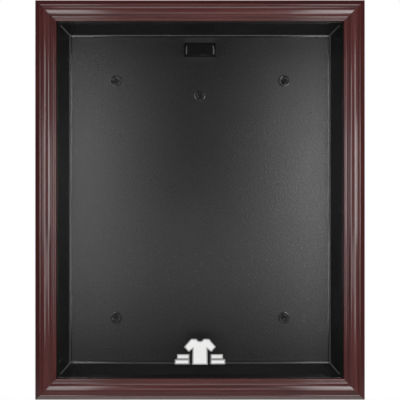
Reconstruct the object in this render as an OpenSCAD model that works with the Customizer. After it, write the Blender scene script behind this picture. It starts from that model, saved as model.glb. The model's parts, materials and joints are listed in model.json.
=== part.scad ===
// Wall display case for a folded or hung jersey: a deep moulded tray that is
// screwed to the wall, and a glazed wooden frame that swings open on its left.
// X is right, Y goes into the wall and Z is up. The wall is the plane y = 0, and
// the origin is the centre of the four wall-screw holes.

/* [Frame] */
// Outside width of the wooden frame
frame_w = 880; // [760:10:1000]
// Outside height of the wooden frame
frame_h = 1067; // [980:1:1200]
// Distance from the wall to the crest of the moulding
frame_d = 89; // [80:1:110]
// Width of the moulding, from its outer edge to the sight edge
rail_w = 57; // [56:0.5:60]
// Thickness of the clear front sheet
glazing_t = 3; // [2:0.5:4]

/* [Tray] */
// Wall thickness of the moulded tray
tray_t = 3; // [2:0.5:4]
// How far each tray wall leans in between its collar and the back panel
draft = 16; // [8:1:24]
// Depth of the straight collar behind the tray's lip
collar_d = 14; // [8:1:18]
// Width of the flange outside the collar
flange_w = 17.3; // [14:0.1:18]
// Gap between the frame's back face and the tray's flange
frame_gap = 1; // [0.5:0.1:2]

/* [Wall screws] */
// Sideways distance between the wall-screw holes
screw_x = 472; // [380:1:560]
// Upright distance between the wall-screw holes
screw_z = 667; // [560:1:760]
// Height of the single hole above the centre
centre_hole_z = 294; // [240:1:340]
// Radius of a wall-screw hole
screw_hole_r = 2.5; // [2:0.1:3.5]

/* [Rod hook] */
// Width of the hook where it meets the back panel
hook_w = 90; // [60:1:120]
// Height of the hook's base
hook_h = 39; // [30:1:50]
// How far the hook stands out of the back panel
hook_d = 30; // [20:1:40]
// Height of the hook's lowest point
hook_z = 400.5; // [380:0.5:405]

/* [Hinges] */
// Radius of a hinge knuckle
knuckle_r = 3; // [2.5:0.1:3.5]
// Radius of a hinge pin
pin_r = 1.5; // [1.2:0.1:1.8]
// Length of a hinge
hinge_l = 44; // [40:1:60]
// Distance between the two screws of a leaf
hinge_screw_gap = 31.5; // [28:0.5:34]

/* [Hidden] */
$fn = 48;
tiny = 0.01;

wood = "#4a2523";
black_abs = "#1b1b1c";
clear = "#dfe6ea";
white_ink = "#f4f4f2";
zinc = "#b9bcc0";

// Moulding section: u runs inward from the outer edge, h runs forward from the back face
rail_t = 23;
side_h = 9;
crest_r = 3;
hump_r = 20.1;
hump_u = 29.5;
hump_h = 22.3;
hump_half = 15.5;
bead_r = 3;
bead_h = 11;
rabbet_w = 8;
rabbet_h = glazing_t + 4;
rail_back = -frame_d + rail_t;
glass_back = rail_back - 4;

// Tray: the lip's opening follows the sight opening of the frame
lip_y = rail_back + frame_gap;
lip_x = frame_w / 2 - rail_w - 0.3;
lip_z = frame_h / 2 - rail_w + 1.2;
lip_r = 5;
panel_front = -8;
panel_back = panel_front + tray_t;
collar_back = lip_y + collar_d;
panel_x = lip_x - 0.7 - draft;
panel_z = lip_z - 0.7 - draft;
flange_x = lip_x + flange_w;
flange_z = lip_z + flange_w;
return_d = 16;
foot_w = 6;
cup_r = 16.5;
recess_r = 13.5;
recess_d = 3.5;
sink_r = 7;
sink_d = 2;

// Rod hook
hook_base_t = 5;
hook_t = 3;
tongue_w = 76.5;
tongue_h = 26.5;
tongue_r = 8;
hook_screw_x = 25;
hook_screw_z = hook_z + 20;

// Hinges: the knuckles clear the wood and the tray by a small gap
leaf_t = 1.2;
leaf_gap = 0.3;
axis_x = -flange_x - knuckle_r - leaf_gap;
axis_y = rail_back + knuckle_r + leaf_gap;
hinge_z = [413, 145, -178, -415];
knuckles = 5;
knuckle_gap = 0.25;
frame_leaf_w = 22;
tray_leaf_w = 13;
tray_screw_off = 6.5;
frame_screw_off = 13;
pin_play = 0.05;
shank_r = 1.6;
head_r = 3.2;
head_t = 1.6;
tray_screw_l = 20.5;
wood_screw_l = 15;

// Turn buttons on the right stile
button_z = [300, -300];
button_x = flange_x + 18;
button_w = 12;
button_l = 28;
button_t = 3;
button_y = lip_y + tray_t + 0.6;
button_screw_r = 2;

// Small fasteners in the frame
nail_leg = 9;
nail_t = 0.6;
nail_d = 8;
nail_u = [16, 36];
point_w = 12;
point_reach = 6;
point_bite = 4;
point_t = 0.8;
emblem_z = -406;
emblem_t = 0.35;

// Points along a circular arc from angle a0 to angle a1
function arc(cx, cy, r, a0, a1, steps) =
    [for (i = [0:steps]) let (a = a0 + (a1 - a0) * i / steps) [cx + r * cos(a), cy + r * sin(a)]];

hump_a = acos(hump_half / hump_r);
hump_left_a = 180 - acos(9.5 / hump_r);

module rail_section() {
    polygon(concat(
        [[0, 0], [0, side_h]],
        arc(17, rail_t - crest_r, crest_r, 180, 0, 8),
        arc(hump_u, hump_h - hump_r, hump_r, hump_left_a, hump_a, 16),
        [[46.5, 14.6], [47.6, 14.4], [48.6, 12.4], [50.2, 12.2]],
        arc(rail_w - bead_r, bead_h, bead_r, 165, 0, 8),
        [[rail_w, rabbet_h], [rail_w - rabbet_w, rabbet_h], [rail_w - rabbet_w, 0]]
    ));
}

// One mitred rail of the given length, standing on its middle, with its outer edge at x = 0
module rail(length) {
    intersection() {
        translate([0, rail_back, -length / 2])
            linear_extrude(length) mirror([0, 1]) rail_section();
        rotate([90, 0, 0])
            linear_extrude(4 * rail_t + frame_d) polygon([
                [0, -length / 2], [0, length / 2],
                [rail_w, length / 2 - rail_w], [rail_w, -length / 2 + rail_w],
            ]);
    }
}

module left_stile() {
    color(wood) translate([-frame_w / 2, 0, 0]) rail(frame_h);
}

module right_stile() {
    color(wood) mirror([1, 0, 0]) translate([-frame_w / 2, 0, 0]) rail(frame_h);
}

module top_rail() {
    color(wood) translate([0, 0, frame_h / 2]) rotate([0, 90, 0]) rail(frame_w);
}

module bottom_rail() {
    color(wood) mirror([0, 0, 1])
        translate([0, 0, frame_h / 2]) rotate([0, 90, 0]) rail(frame_w);
}

// Copies its children to all four corners by mirroring
module four_corners() {
    for (mx = [0, 1], mz = [0, 1])
        mirror([mx, 0, 0]) mirror([0, 0, mz]) children();
}

module corner_v_nails() {
    color(zinc) four_corners() for (u = nail_u)
        translate([-frame_w / 2 + u, rail_back - nail_d, frame_h / 2 - u]) {
            translate([0, 0, -nail_t]) cube([nail_leg, nail_d, nail_t]);
            translate([0, 0, -nail_leg]) cube([nail_t, nail_d, nail_leg]);
        }
}

module front_acrylic() {
    sheet_x = frame_w / 2 - rail_w + rabbet_w - 0.5;
    sheet_z = frame_h / 2 - rail_w + rabbet_w - 0.5;
    color(clear, 0.25) translate([-sheet_x, glass_back - glazing_t, -sheet_z])
        cube([2 * sheet_x, glazing_t, 2 * sheet_z]);
}

// A flat point lies on the sheet's back and bites into the wood beside it
module glazing_point() {
    translate([-point_bite, glass_back, -point_w / 2])
        cube([point_bite + point_reach, point_t, point_w]);
}

module glazing_points() {
    edge_x = frame_w / 2 - rail_w + rabbet_w;
    edge_z = frame_h / 2 - rail_w + rabbet_w;
    color(zinc) {
        for (mx = [0, 1], z = [-360, -120, 120, 360])
            mirror([mx, 0, 0]) translate([-edge_x, 0, z]) glazing_point();
        for (mz = [0, 1], x = [-250, 0, 250])
            mirror([0, 0, mz]) translate([x, 0, edge_z]) rotate([0, 90, 0]) glazing_point();
    }
}

// Plain short-sleeved shirt between two pairs of bars
module front_emblem() {
    color(white_ink) translate([0, glass_back - glazing_t, emblem_z]) rotate([90, 0, 0])
        linear_extrude(emblem_t) {
            difference() {
                polygon([
                    [-21, -34], [21, -34], [21, 10], [31, 2], [42, 14], [22, 34],
                    [-22, 34], [-42, 14], [-31, 2], [-21, 10],
                ]);
                translate([0, 36]) circle(r = 10);
            }
            for (side = [-1, 1], bar = [0, 1])
                translate([side * (54 - 6 * bar), -24 + 14 * bar]) square([26 - 4 * bar, 7], center = true);
        }
}

// Block with drafted sides and rounded upright edges: half sizes at its front and at its back
module frustum(front_x, front_z, front_y, back_x, back_z, back_y, r) {
    hull() for (mx = [-1, 1], mz = [-1, 1]) {
        translate([mx * (front_x - r), front_y, mz * (front_z - r)])
            rotate([-90, 0, 0]) cylinder(r = r, h = tiny, $fn = 32);
        translate([mx * (back_x - r), back_y - tiny, mz * (back_z - r)])
            rotate([-90, 0, 0]) cylinder(r = r, h = tiny, $fn = 32);
    }
}

// Flat plate centred on the axis, given by its half sizes and its two faces
module slab(half_x, half_z, y0, y1) {
    translate([-half_x, y0, -half_z]) cube([2 * half_x, y1 - y0, 2 * half_z]);
}

// Cylinder that runs into the wall from y0 to y1
module post(x, z, y0, y1, r0, r1) {
    translate([x, y0, z]) rotate([-90, 0, 0]) cylinder(h = y1 - y0, r1 = r0, r2 = r1);
}

module at_wall_screws() {
    for (mx = [-1, 1], mz = [-1, 1]) translate([mx * screw_x / 2, 0, mz * screw_z / 2]) children();
    translate([0, 0, centre_hole_z]) children();
}

module back_tray() {
    mid_x = lip_x - 0.7;
    mid_z = lip_z - 0.7;
    color(black_abs) difference() {
        union() {
            slab(flange_x, flange_z, lip_y, lip_y + tray_t);
            difference() {
                slab(flange_x, flange_z, lip_y, lip_y + return_d);
                slab(flange_x - tray_t, flange_z - tray_t, lip_y + tray_t, lip_y + return_d + 1);
            }
            frustum(lip_x + tray_t, lip_z + tray_t, lip_y,
                mid_x + tray_t, mid_z + tray_t, collar_back, lip_r + tray_t);
            frustum(mid_x + tray_t, mid_z + tray_t, collar_back - tiny,
                panel_x + tray_t, panel_z + tray_t, panel_back, lip_r + tray_t);
            difference() {
                slab(panel_x, panel_z, panel_back - 1, 0);
                slab(panel_x - foot_w, panel_z - foot_w, panel_back - 2, 1);
            }
            at_wall_screws() post(0, 0, panel_front, 0, cup_r, cup_r);
            for (z = hinge_z) translate([-flange_x + 1, lip_y + 1, z - hinge_l / 2 - 2])
                cube([flange_w, return_d - 1, hinge_l + 4]);
        }
        frustum(lip_x, lip_z, lip_y - 1, mid_x, mid_z, collar_back, lip_r);
        frustum(mid_x, mid_z, collar_back - 2 * tiny, panel_x, panel_z, panel_front, lip_r);
        at_wall_screws() {
            post(0, 0, panel_front - 1, panel_front + recess_d, recess_r, recess_r);
            post(0, 0, panel_front + recess_d - tiny, panel_front + recess_d + sink_d, sink_r, screw_hole_r);
            post(0, 0, panel_front, 1, screw_hole_r, screw_hole_r);
        }
        for (side = [-1, 1])
            post(side * hook_screw_x, hook_screw_z, panel_front - 1, panel_back + 1, 1.8, 1.8);
        for (z = button_z) translate([flange_x - tray_t - 1, lip_y + tray_t, z - 24])
            cube([tray_t + 2, return_d, 32]);
    }
}

// Half of the hook's outline seen from above, as a strip that leans in towards the tongue
module hook_side() {
    front = -hook_d;
    polygon([
        [hook_w / 2, 0], [tongue_w / 2, front], [tongue_w / 2 - hook_t, front], [hook_w / 2 - hook_t, 0],
    ]);
}

module rod_hook() {
    web_r = hook_d - hook_base_t;
    color(black_abs) translate([0, panel_front, hook_z]) {
        translate([-hook_w / 2, -hook_base_t, 0]) cube([hook_w, hook_base_t, hook_h]);
        linear_extrude(hook_t) polygon([
            [-hook_w / 2, 0], [-tongue_w / 2, -hook_d], [tongue_w / 2, -hook_d], [hook_w / 2, 0],
        ]);
        difference() {
            for (mx = [0, 1]) mirror([mx, 0, 0]) linear_extrude(hook_h) hook_side();
            translate([-hook_w, -hook_d, hook_h]) rotate([0, 90, 0]) cylinder(r = web_r, h = 2 * hook_w);
        }
        translate([0, -hook_d + hook_t, 0]) rotate([90, 0, 0]) linear_extrude(hook_t) {
            translate([-tongue_w / 2, 0]) square([tongue_w, tongue_h - tongue_r]);
            translate([-tongue_w / 2 + tongue_r, 0]) square([tongue_w - 2 * tongue_r, tongue_h]);
            for (side = [-1, 1])
                translate([side * (tongue_w / 2 - tongue_r), tongue_h - tongue_r]) circle(r = tongue_r);
        }
    }
}

module rod_hook_screws() {
    color(zinc) for (side = [-1, 1]) {
        post(side * hook_screw_x, hook_screw_z, panel_front - 4, panel_back, 1.5, 1.5);
        post(side * hook_screw_x, hook_screw_z, panel_back, panel_back + 2.2, 3.5, 3);
    }
}

// Wood screw with its flat head at the origin and its point towards -Z
module wood_screw(length) {
    translate([0, 0, -head_t]) cylinder(h = head_t, r1 = shank_r, r2 = head_r);
    translate([0, 0, -length + 3]) cylinder(h = length - 3 - head_t, r = shank_r);
    translate([0, 0, -length]) cylinder(h = 3, r1 = 0.2, r2 = shank_r);
}

// Height of the middle of knuckle i, counted from the hinge's lower end
function knuckle_z(i) = -hinge_l / 2 + hinge_l / knuckles * (i + 0.5);

// Hinge leaf that lies along -Y in front of x = -knuckle_r; own knuckles are the listed ones
module leaf(width, own, bore_r, hole_off) {
    kl = hinge_l / knuckles;
    step = kl - knuckle_gap;
    far = knuckle_r + leaf_gap;
    difference() {
        union() {
            translate([-far, far + 0.2, -hinge_l / 2]) cube([leaf_t, width - far - 0.2, hinge_l]);
            for (i = own) translate([0, 0, knuckle_z(i) - step / 2]) {
                cylinder(h = step, r = knuckle_r);
                translate([-far, 0, 0]) cube([leaf_t, far + 1, step]);
            }
        }
        translate([0, 0, -hinge_l]) cylinder(h = 2 * hinge_l, r = bore_r);
        for (side = [-1, 1])
            translate([-far + leaf_t, hole_off, side * hinge_screw_gap / 2]) rotate([0, 90, 0]) {
                translate([0, 0, -head_t]) cylinder(h = head_t, r1 = shank_r, r2 = head_r);
                translate([0, 0, -3]) cylinder(h = 3, r = shank_r + 0.2);
            }
    }
}

// Turns a leaf so that its plate lies on the tray's return wall
module as_tray_leaf() {
    translate([axis_x, axis_y, 0]) mirror([1, 0, 0]) children();
}

// Turns a leaf so that its plate lies on the back of the left stile
module as_frame_leaf() {
    translate([axis_x, axis_y, 0]) rotate([0, 0, 90]) children();
}

module tray_hinge_leaf(i) {
    color(zinc) translate([0, 0, hinge_z[i]]) as_tray_leaf()
        leaf(tray_leaf_w, [0, 2, 4], pin_r, tray_screw_off);
}

module frame_hinge_leaf(i) {
    color(zinc) translate([0, 0, hinge_z[i]]) as_frame_leaf()
        leaf(frame_leaf_w, [1, 3], pin_r + pin_play, frame_screw_off);
}

module hinge_pin(i) {
    color(zinc) translate([axis_x, axis_y, hinge_z[i]]) {
        translate([0, 0, -hinge_l / 2]) cylinder(h = hinge_l, r = pin_r);
        for (side = [0, 1]) mirror([0, 0, side]) translate([0, 0, hinge_l / 2])
            cylinder(h = 1, r1 = pin_r + 0.8, r2 = pin_r);
    }
}

// Screws of one kind of leaf, on every hinge
module leaf_screws(hole_off, length) {
    for (side = [-1, 1])
        translate([-knuckle_r - leaf_gap + leaf_t, hole_off, side * hinge_screw_gap / 2])
            rotate([0, 90, 0]) wood_screw(length);
}

module tray_hinge_screws() {
    color(zinc) for (z = hinge_z) translate([0, 0, z])
        as_tray_leaf() leaf_screws(tray_screw_off, tray_screw_l);
}

module frame_hinge_screws() {
    color(zinc) for (z = hinge_z) translate([0, 0, z])
        as_frame_leaf() leaf_screws(frame_screw_off, wood_screw_l);
}

// Offset arm that hangs from its screw and catches behind the tray's flange
module turn_button(z) {
    reach = button_l - button_w / 2;
    color(zinc) translate([button_x, button_y + button_t, z]) rotate([90, 0, 0])
        linear_extrude(button_t) difference() {
            union() {
                circle(d = button_w);
                translate([0, -reach]) circle(d = button_w);
                translate([-button_w / 2, -reach]) square([button_w, reach]);
            }
            circle(r = button_screw_r + pin_play);
        }
}

module turn_button_screws() {
    color(zinc) for (z = button_z) {
        post(button_x, z, rail_back - 12, button_y + button_t + 0.1, button_screw_r, button_screw_r);
        post(button_x, z, button_y + button_t + 0.1, button_y + button_t + 2.3, 4, 3);
    }
}

module turn_button_spacers() {
    color(zinc) for (z = button_z) difference() {
        post(button_x, z, rail_back, button_y - 0.1, 5, 5);
        post(button_x, z, rail_back - 1, button_y + 1, button_screw_r, button_screw_r);
    }
}

back_tray();
rod_hook();
rod_hook_screws();
top_rail();
bottom_rail();
left_stile();
right_stile();
corner_v_nails();
front_acrylic();
glazing_points();
front_emblem();
tray_hinge_leaf(0);  // tray_hinge_leaf_1
tray_hinge_leaf(1);  // tray_hinge_leaf_2
tray_hinge_leaf(2);  // tray_hinge_leaf_3
tray_hinge_leaf(3);  // tray_hinge_leaf_4
hinge_pin(0);  // hinge_pin_1
hinge_pin(1);  // hinge_pin_2
hinge_pin(2);  // hinge_pin_3
hinge_pin(3);  // hinge_pin_4
tray_hinge_screws();
frame_hinge_leaf(0);  // frame_hinge_leaf_1
frame_hinge_leaf(1);  // frame_hinge_leaf_2
frame_hinge_leaf(2);  // frame_hinge_leaf_3
frame_hinge_leaf(3);  // frame_hinge_leaf_4
frame_hinge_screws();
turn_button(button_z[0]);  // turn_button_upper
turn_button(button_z[1]);  // turn_button_lower
turn_button_screws();
turn_button_spacers();
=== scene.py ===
"""Visual model of a wall display case for a jersey.

A black moulded tray with a rod hook stands behind a hinged frame of stained and
lacquered moulding with a clear front sheet. Each sub-assembly is a class that
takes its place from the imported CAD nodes, builds its meshes and dresses them.
Lengths inside the classes are in millimetres, and the studio's and the meshes' are in metres.
"""

import itertools
import json
import logging
import math
from collections.abc import Iterable, Sequence
from dataclasses import dataclass
from enum import Enum

import bmesh
import bpy
from bmesh.types import BMEdge, BMFace, BMVert
from mathutils import Matrix, Vector


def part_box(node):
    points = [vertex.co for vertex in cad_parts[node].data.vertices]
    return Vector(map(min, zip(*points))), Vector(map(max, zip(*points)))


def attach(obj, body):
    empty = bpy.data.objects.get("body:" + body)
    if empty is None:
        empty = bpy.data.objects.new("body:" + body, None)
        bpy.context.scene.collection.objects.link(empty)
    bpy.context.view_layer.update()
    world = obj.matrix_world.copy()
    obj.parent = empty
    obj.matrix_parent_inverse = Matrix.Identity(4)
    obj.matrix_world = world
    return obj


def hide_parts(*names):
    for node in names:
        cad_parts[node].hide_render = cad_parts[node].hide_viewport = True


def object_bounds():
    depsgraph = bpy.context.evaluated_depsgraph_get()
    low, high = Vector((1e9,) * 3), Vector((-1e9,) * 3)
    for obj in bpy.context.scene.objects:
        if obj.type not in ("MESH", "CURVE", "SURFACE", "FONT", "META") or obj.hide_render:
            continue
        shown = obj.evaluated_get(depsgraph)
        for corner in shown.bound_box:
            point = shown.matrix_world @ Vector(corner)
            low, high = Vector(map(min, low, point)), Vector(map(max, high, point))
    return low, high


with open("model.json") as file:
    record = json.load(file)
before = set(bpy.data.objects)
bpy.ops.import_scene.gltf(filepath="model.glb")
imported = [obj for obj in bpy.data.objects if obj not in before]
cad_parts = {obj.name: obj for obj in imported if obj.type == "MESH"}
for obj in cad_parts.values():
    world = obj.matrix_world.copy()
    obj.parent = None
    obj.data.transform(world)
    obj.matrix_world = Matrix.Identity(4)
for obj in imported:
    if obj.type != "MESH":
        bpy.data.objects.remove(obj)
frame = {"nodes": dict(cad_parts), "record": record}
cad_box = [list(corner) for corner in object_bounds()]

log = logging.getLogger("display_case")

MM = 0.001
SIDES = (-1, 1)
Point = tuple[float, float]


# ---------------------------------------------------------------- shaping


def arc(centre: Point, radius: float, start: float, end: float, steps: int) -> list[Point]:
    """Points along a circular arc.

    Args:
        centre: The arc's centre.
        radius: Its radius.
        start: Angle of the first point, in degrees.
        end: Angle of the last point, in degrees.
        steps: Number of chords.

    Returns:
        The points, from start to end.
    """
    turns = [math.radians(start + (end - start) * i / steps) for i in range(steps + 1)]
    return [(centre[0] + radius * math.cos(a), centre[1] + radius * math.sin(a)) for a in turns]


def node_box(node: str) -> tuple[Vector, Vector]:
    """Lowest and highest corner of a CAD node, in millimetres."""
    low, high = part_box(node)
    return low / MM, high / MM


def screw_places() -> list[Point]:
    """Works out the five wall-screw holes from the record's mounts.

    Returns:
        Middles of the holes as (x, z), in millimetres.
    """
    mounts = {mount["name"]: mount for mount in frame["record"]["mounts"]}
    gaps = mounts["wall_screws"]["dims"]
    corners = [(sx * gaps["spacing_x_mm"] / 2, sz * gaps["spacing_y_mm"] / 2) for sx in SIDES for sz in SIDES]
    return [*corners, (0.0, mounts["centre_screw"]["pos_m"][2] / MM)]


class Form:
    """A mesh in the making, with the shaping steps that the pieces share, in millimetres."""

    def __init__(self) -> None:
        """Starts empty."""
        self.bm = bmesh.new()

    def loop(self, points: Iterable[Sequence[float]]) -> list[BMEdge]:
        """Joins points into one closed loop.

        Args:
            points: The corners, in order.

        Returns:
            The loop's edges.
        """
        verts = [self.bm.verts.new(Vector(p)) for p in points]
        return [self.bm.edges.new(pair) for pair in zip(verts, verts[1:] + verts[:1])]

    def face(self, points: Iterable[Sequence[float]]) -> BMFace:
        """Makes one flat face from its corners."""
        made = bmesh.ops.contextual_create(self.bm, geom=self.loop(points))
        return made["faces"][0]

    def rounded_loop(
        self, centre: Sequence[float], half_x: float, half_z: float, radius: float, steps: int = 8
    ) -> list[BMEdge]:
        """Makes an upright rounded rectangle.

        Args:
            centre: Its middle.
            half_x: Half its width.
            half_z: Half its height.
            radius: Radius of its corners.
            steps: Chords in each corner.

        Returns:
            The loop's edges.
        """
        points: list[Point] = []
        for turn, (sx, sz) in enumerate(((1, 1), (-1, 1), (-1, -1), (1, -1))):
            middle = (sx * (half_x - radius), sz * (half_z - radius))
            points += arc(middle, radius, 90 * turn, 90 * turn + 90, steps)
        x, y, z = centre
        return self.loop((x + across, y, z + up) for across, up in points)

    def circle(self, centre: Sequence[float], radius: float, steps: int = 40) -> list[BMEdge]:
        """Makes an upright circle that faces the front.

        Args:
            centre: Its middle.
            radius: Its radius.
            steps: Number of edges.

        Returns:
            Its edges.
        """
        place = Matrix.Translation(centre) @ Matrix.Rotation(math.radians(90), 4, "X")
        made = bmesh.ops.create_circle(self.bm, cap_ends=False, radius=radius, segments=steps, matrix=place)
        return list({e for v in made["verts"] for e in v.link_edges})

    def _pull(self, edges: list[BMEdge]) -> tuple[list[BMEdge], list[BMVert]]:
        """Extrudes a loop.

        Args:
            edges: The loop.

        Returns:
            The new loop's edges and points.
        """
        made = bmesh.ops.extrude_edge_only(self.bm, edges=edges)["geom"]
        verts = {g for g in made if isinstance(g, BMVert)}
        new = [g for g in made if isinstance(g, BMEdge) and set(g.verts) <= verts]
        return new, list(verts)

    def step_loop(
        self, edges: list[BMEdge], out: float, along: float, centre: Sequence[float] = (0, 0, 0)
    ) -> list[BMEdge]:
        """Extrudes a rounded rectangle, keeping its corner radius.

        Args:
            edges: The loop.
            out: How far the new loop stands outside it.
            along: How far it lies behind it.
            centre: The rectangle's middle.

        Returns:
            The new loop's edges.
        """
        new, verts = self._pull(edges)
        for sx in SIDES:
            for sz in SIDES:
                corner = [v for v in verts if (v.co.x - centre[0]) * sx > 0 and (v.co.z - centre[2]) * sz > 0]
                bmesh.ops.translate(self.bm, verts=corner, vec=(sx * out, along, sz * out))
        return new

    def turn_loop(
        self, edges: list[BMEdge], centre: Sequence[float], ratio: float, along: float
    ) -> list[BMEdge]:
        """Extrudes a circle, scales it about its axis and moves it back.

        Args:
            edges: The circle's edges.
            centre: A place on its axis.
            ratio: New radius to old.
            along: How far it moves back.

        Returns:
            The new circle's edges.
        """
        new, verts = self._pull(edges)
        about = Matrix.Translation(-Vector(centre))
        bmesh.ops.scale(self.bm, verts=verts, vec=(ratio, 1, ratio), space=about)
        bmesh.ops.translate(self.bm, verts=verts, vec=(0, along, 0))
        return new

    def fill(self, edges: list[BMEdge]) -> list[BMFace]:
        """Fills a flat outline, leaving its inner loops open, and returns the faces."""
        made = bmesh.ops.triangle_fill(self.bm, use_beauty=True, edges=edges)["geom"]
        return [g for g in made if isinstance(g, BMFace)]

    def extrude(self, face: BMFace, by: Sequence[float]) -> None:
        """Draws a face out into a solid.

        Args:
            face: The face.
            by: How far and which way.
        """
        made = bmesh.ops.extrude_face_region(self.bm, geom=[face])["geom"]
        bmesh.ops.translate(self.bm, verts=[g for g in made if isinstance(g, BMVert)], vec=by)
        self.bm.faces.ensure_lookup_table()

    def prism(self, points: Iterable[Sequence[float]], by: Sequence[float]) -> "Form":
        """Adds a solid with a flat outline, drawn out along a vector.

        Args:
            points: The outline's corners.
            by: How far and which way.

        Returns:
            The form.
        """
        base = self.face(points)
        twin = base.copy(verts=True, edges=True)
        bmesh.ops.reverse_faces(self.bm, faces=[twin])
        bmesh.ops.translate(self.bm, verts=list(twin.verts), vec=by)
        bmesh.ops.bridge_loops(self.bm, edges=list(base.edges) + list(twin.edges))
        return self

    def block(self, low: Sequence[float], high: Sequence[float]) -> "Form":
        """Adds a block.

        Args:
            low: Its lowest corner.
            high: Its highest corner.

        Returns:
            The form.
        """
        size = Vector(high) - Vector(low)
        place = Matrix.Translation((Vector(high) + Vector(low)) / 2) @ Matrix.Diagonal((*size, 1))
        bmesh.ops.create_cube(self.bm, size=1, matrix=place)
        return self

    def lathe(self, profile: Sequence[Point], steps: int = 32) -> "Form":
        """Turns a profile about the Z axis.

        Args:
            profile: Points of (radius, height), from axis to axis.
            steps: Faces round the axis.

        Returns:
            The form.
        """
        verts = [self.bm.verts.new((r, 0, z)) for r, z in profile]
        edges = [self.bm.edges.new(pair) for pair in zip(verts, verts[1:])]
        bmesh.ops.spin(
            self.bm, geom=verts + edges, cent=(0, 0, 0), axis=(0, 0, 1),
            angle=math.tau, steps=steps, use_merge=True, use_duplicate=False,
        )
        bmesh.ops.remove_doubles(self.bm, verts=self.bm.verts, dist=1e-4)
        return self

    def sharp_edges(self, angle: float = 35) -> list[BMEdge]:
        """The edges where two faces meet at more than an angle, in degrees."""
        limit = math.radians(angle)
        return [e for e in self.bm.edges if e.is_manifold and e.calc_face_angle(0) > limit]

    def ease(
        self, width: float, angle: float = 35, segments: int = 2, edges: list[BMEdge] | None = None
    ) -> "Form":
        """Rounds sharp edges.

        Args:
            width: Width of the rounding.
            angle: Least angle of an edge that is rounded, in degrees.
            segments: Faces across the rounding.
            edges: The edges to round, in place of those past the angle.

        Returns:
            The form.
        """
        bmesh.ops.recalc_face_normals(self.bm, faces=self.bm.faces)
        bmesh.ops.bevel(
            self.bm, geom=self.sharp_edges(angle) if edges is None else edges,
            offset=width, offset_type="OFFSET", segments=segments, profile=0.5,
            affect="EDGES", material=-1, clamp_overlap=True,
        )
        return self

    def move(self, matrix: Matrix) -> "Form":
        """Moves the whole form and returns it."""
        bmesh.ops.transform(self.bm, matrix=matrix, verts=self.bm.verts)
        return self

    def add(self, other: "Form", matrix: Matrix) -> None:
        """Adds a moved copy of another form.

        Args:
            other: The other form.
            matrix: The move.
        """
        mesh = bpy.data.meshes.new("copy")
        other.bm.to_mesh(mesh)
        mesh.transform(matrix)
        self.bm.from_mesh(mesh)
        bpy.data.meshes.remove(mesh)

    def carve(self, cutter: "Form", operation: str = "DIFFERENCE") -> "Form":
        """Cuts another closed form out of this one, or joins it on.

        Args:
            cutter: The other form, which is used up.
            operation: DIFFERENCE or UNION.

        Returns:
            The form.
        """
        objects = [form.raw_object(name) for form, name in ((self, "target"), (cutter, "cutter"))]
        change = objects[0].modifiers.new("carve", "BOOLEAN")
        change.operation, change.object, change.solver = operation, objects[1], "EXACT"
        graph = bpy.context.evaluated_depsgraph_get()
        result = bpy.data.meshes.new_from_object(objects[0].evaluated_get(graph))
        self.bm = bmesh.new()
        self.bm.from_mesh(result)
        bmesh.ops.remove_doubles(self.bm, verts=self.bm.verts, dist=1e-3)
        for o in objects:
            bpy.data.meshes.remove(o.data)
        bpy.data.meshes.remove(result)
        return self

    def raw_object(self, name: str) -> bpy.types.Object:
        """Makes a passing object of the form as it is, in millimetres, and frees the form.

        Args:
            name: The object's name.

        Returns:
            The object.
        """
        bmesh.ops.recalc_face_normals(self.bm, faces=self.bm.faces)
        mesh = bpy.data.meshes.new(name)
        self.bm.to_mesh(mesh)
        self.bm.free()
        made = bpy.data.objects.new(name, mesh)
        bpy.context.scene.collection.objects.link(made)
        return made

    def finish(
        self, name: str, materials: Sequence[bpy.types.Material], angle: float = 35
    ) -> bpy.types.Object:
        """Shades the form and makes it an object in metres.

        Args:
            name: The piece's name.
            materials: Its materials, by face index.
            angle: Edges sharper than this stay crisp, in degrees.

        Returns:
            The object, at the origin.
        """
        bmesh.ops.recalc_face_normals(self.bm, faces=self.bm.faces)
        for face in self.bm.faces:
            face.smooth = True
        for edge in self.sharp_edges(angle):
            edge.smooth = False
        bmesh.ops.scale(self.bm, verts=self.bm.verts, vec=(MM, MM, MM))
        mesh = bpy.data.meshes.new(name)
        self.bm.to_mesh(mesh)
        self.bm.free()
        for material in materials:
            mesh.materials.append(material)
        made = bpy.data.objects.new(name, mesh)
        bpy.context.scene.collection.objects.link(made)
        flats = made.modifiers.new("even_flats", "WEIGHTED_NORMAL")
        flats.keep_sharp = True
        return made


def copy_of(node: str, ease: float = 0.0) -> Form:
    """Makes a welded copy of a CAD node.

    Args:
        node: The node's name.
        ease: Width of the rounding along its sharp edges, or 0.

    Returns:
        The copy, in millimetres.
    """
    form = Form()
    form.bm.from_mesh(frame["nodes"][node].data)
    bmesh.ops.scale(form.bm, verts=form.bm.verts, vec=(1 / MM, 1 / MM, 1 / MM))
    bmesh.ops.remove_doubles(form.bm, verts=form.bm.verts, dist=1e-3)
    bmesh.ops.dissolve_limit(form.bm, angle_limit=math.radians(0.5), verts=form.bm.verts, edges=form.bm.edges)
    return form.ease(ease) if ease else form


def settle(piece: bpy.types.Object, body: str, slot: str, *nodes: str) -> None:
    """Hands a piece over to its body.

    Args:
        piece: The finished object.
        body: The CAD body that it rides on.
        slot: The material slot that it stands for; not used.
        nodes: The CAD nodes that it replaces.
    """
    if not piece.data.polygons:
        raise ValueError(f"{piece.name} has no faces")
    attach(piece, body)
    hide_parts(*nodes)
    log.info("%s: %d faces, on %s", piece.name, len(piece.data.polygons), body)


# ---------------------------------------------------------------- finishes


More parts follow.
